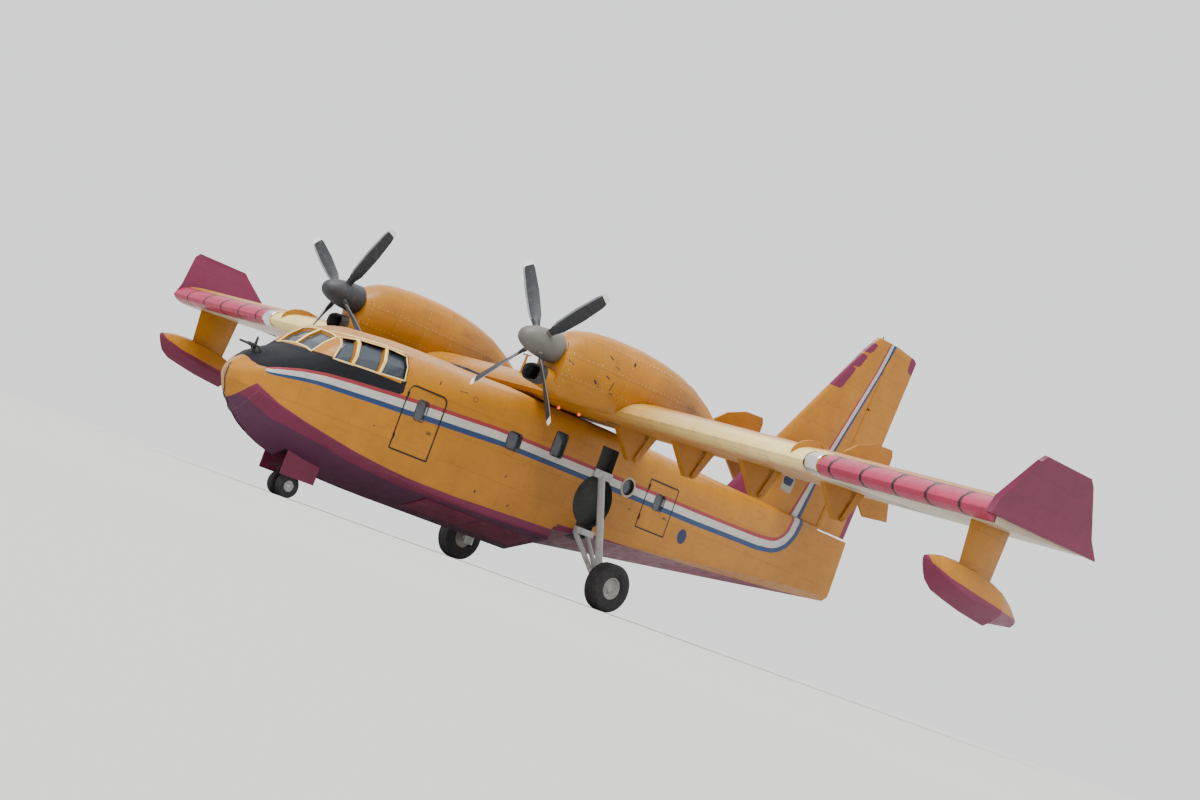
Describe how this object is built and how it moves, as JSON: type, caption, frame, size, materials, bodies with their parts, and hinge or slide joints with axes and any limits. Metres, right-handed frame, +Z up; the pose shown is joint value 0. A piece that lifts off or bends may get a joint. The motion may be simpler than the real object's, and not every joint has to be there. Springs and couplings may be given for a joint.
{
  "type": "twin-engined amphibious flying boat",
  "caption": "Fire-fighting flying boat with a stepped hull, high straight wing with tip floats, twin propellers, cross tail and wheels for land.",
  "frame": {"origin": "on the ground, below the centre of the bounding box, with the aircraft standing on its wheels", "axes": "+Z up, -Y towards the nose, +X towards the port wing tip"},
  "size_m": [28.63, 19.82, 8.98],
  "materials": {
    "yellow_paint": "orange-yellow polyurethane paint over aluminium sheet, semi-gloss, lightly soiled",
    "plum_paint": "plum red polyurethane paint over aluminium sheet, semi-gloss, lightly soiled",
    "glazing": "tinted acrylic and laminated glass",
    "tyre_rubber": "matt black tyre rubber with a painted grey hub",
    "leg_steel": "grey painted forged steel",
    "fork_steel": "bare machined steel",
    "spinner_grey": "light grey paint on the spinner, black blades with white tips",
    "spinner_black": "satin black paint on spinner and blades, white tips",
    "seat_cloth": "dark woven seat cover",
    "panel_black": "matt black instrument panel and glare shield"
  },
  "bodies": {
    "airframe": {"cabin_glass_left": "glazing", "cabin_glass_right": "glazing", "cockpit_glass": "glazing", "fin": "yellow_paint", "finlet_left": "yellow_paint", "finlet_right": "yellow_paint", "float_left": "plum_paint", "float_right": "plum_paint", "float_strut_left": "yellow_paint", "float_strut_right": "yellow_paint", "hull": "yellow_paint", "instrument_panel": "panel_black", "main_leg_left": "leg_steel", "main_leg_right": "leg_steel", "nacelle_left": "yellow_paint", "nacelle_right": "yellow_paint", "nose_bay_door_left": "plum_paint", "nose_bay_door_right": "plum_paint", "nose_post": "leg_steel", "round_glass_left": "glazing", "round_glass_right": "glazing", "seat_left": "seat_cloth", "seat_right": "seat_cloth", "tailplane": "yellow_paint", "tip_plate_left": "plum_paint", "tip_plate_right": "plum_paint", "wing": "yellow_paint"},
    "propeller_left": {"propeller_left": "spinner_grey"},
    "main_wheel_left": {"main_wheel_left": "tyre_rubber"},
    "propeller_right": {"propeller_right": "spinner_black"},
    "main_wheel_right": {"main_wheel_right": "tyre_rubber"},
    "nose_fork": {"nose_fork": "fork_steel"},
    "nose_wheels": {"nose_wheel_left": "tyre_rubber", "nose_wheel_right": "tyre_rubber"},
    "flap_left": {"flap_left": "yellow_paint"},
    "aileron_left": {"aileron_left": "yellow_paint"},
    "elevator_left": {"elevator_left": "yellow_paint"},
    "flap_right": {"flap_right": "yellow_paint"},
    "aileron_right": {"aileron_right": "yellow_paint"},
    "elevator_right": {"elevator_right": "yellow_paint"},
    "rudder": {"rudder": "yellow_paint"},
    "crew_door": {"crew_door": "yellow_paint", "crew_door_glass": "glazing"},
    "aft_door": {"aft_door": "yellow_paint", "aft_door_glass": "glazing"},
    "drop_door_fore_left": {"drop_door_fore_left": "plum_paint"},
    "drop_door_fore_right": {"drop_door_fore_right": "plum_paint"},
    "drop_door_rear_left": {"drop_door_rear_left": "plum_paint"},
    "drop_door_rear_right": {"drop_door_rear_right": "plum_paint"}
  },
  "joints": [
    {"name": "propeller_left_spin", "type": "hinge", "parent": "airframe", "child": "propeller_left", "pos_m": [3.51, -5.43, 4.755], "axis": [0, 1, 0], "continuous": true},
    {"name": "main_wheel_left_roll", "type": "hinge", "parent": "airframe", "child": "main_wheel_left", "pos_m": [2.64, -0.41, 0.538], "axis": [1, 0, 0], "continuous": true},
    {"name": "propeller_right_spin", "type": "hinge", "parent": "airframe", "child": "propeller_right", "pos_m": [-3.51, -5.43, 4.755], "axis": [0, 1, 0], "continuous": true},
    {"name": "main_wheel_right_roll", "type": "hinge", "parent": "airframe", "child": "main_wheel_right", "pos_m": [-2.64, -0.41, 0.538], "axis": [1, 0, 0], "continuous": true},
    {"name": "nose_steer", "type": "hinge", "parent": "airframe", "child": "nose_fork", "pos_m": [0, -7.64, 0.25], "axis": [0, 0, 1], "range_deg": [-45, 45]},
    {"name": "nose_wheels_roll", "type": "hinge", "parent": "nose_fork", "child": "nose_wheels", "pos_m": [0, -7.64, 0.25], "axis": [1, 0, 0], "continuous": true},
    {"name": "flap_left_hinge", "type": "hinge", "parent": "airframe", "child": "flap_left", "pos_m": [0, -0.66, 3.38], "axis": [-1, 0, 0], "range_deg": [0, 25]},
    {"name": "aileron_left_hinge", "type": "hinge", "parent": "airframe", "child": "aileron_left", "pos_m": [0, -0.25, 4.1432], "axis": [1, 0, 0], "range_deg": [-20, 20]},
    {"name": "elevator_left_hinge", "type": "hinge", "parent": "airframe", "child": "elevator_left", "pos_m": [0, 7.81, 5.42], "axis": [1, 0, 0], "range_deg": [-18, 25]},
    {"name": "flap_right_hinge", "type": "hinge", "parent": "airframe", "child": "flap_right", "pos_m": [0, -0.66, 3.38], "axis": [-1, 0, 0], "range_deg": [0, 25]},
    {"name": "aileron_right_hinge", "type": "hinge", "parent": "airframe", "child": "aileron_right", "pos_m": [0, -0.25, 4.1432], "axis": [1, 0, 0], "range_deg": [-20, 20]},
    {"name": "elevator_right_hinge", "type": "hinge", "parent": "airframe", "child": "elevator_right", "pos_m": [0, 7.81, 5.42], "axis": [1, 0, 0], "range_deg": [-18, 25]},
    {"name": "rudder_hinge", "type": "hinge", "parent": "airframe", "child": "rudder", "pos_m": [0, 8.29, 3.8], "axis": [0, 0.1168, 0.9932], "range_deg": [-25, 25]},
    {"name": "crew_door_hinge", "type": "hinge", "parent": "airframe", "child": "crew_door", "pos_m": [1.3055, -6.36, 2.405], "axis": [0, 0, -1], "range_deg": [0, 100]},
    {"name": "aft_door_hinge", "type": "hinge", "parent": "airframe", "child": "aft_door", "pos_m": [1.20922, 1.19, 2.66], "axis": [0, 0, -1], "range_deg": [0, 100]},
    {"name": "drop_door_fore_left_hinge", "type": "hinge", "parent": "airframe", "child": "drop_door_fore_left", "pos_m": [0.99588, -3.94, 0.98285], "axis": [0, -1, 0], "range_deg": [0, 60]},
    {"name": "drop_door_fore_right_hinge", "type": "hinge", "parent": "airframe", "child": "drop_door_fore_right", "pos_m": [-0.99588, -3.94, 0.98285], "axis": [0, 1, 0], "range_deg": [0, 60]},
    {"name": "drop_door_rear_left_hinge", "type": "hinge", "parent": "airframe", "child": "drop_door_rear_left", "pos_m": [0.99588, -2.24, 0.98285], "axis": [0, -1, 0], "range_deg": [0, 60]},
    {"name": "drop_door_rear_right_hinge", "type": "hinge", "parent": "airframe", "child": "drop_door_rear_right", "pos_m": [-0.99588, -2.24, 0.98285], "axis": [0, 1, 0], "range_deg": [0, 60]}
  ],
  "couplings": [
    {"joint": "flap_right_hinge", "follows": "flap_left_hinge", "ratio": 1},
    {"joint": "aileron_right_hinge", "follows": "aileron_left_hinge", "ratio": -1},
    {"joint": "elevator_right_hinge", "follows": "elevator_left_hinge", "ratio": 1}
  ]
}
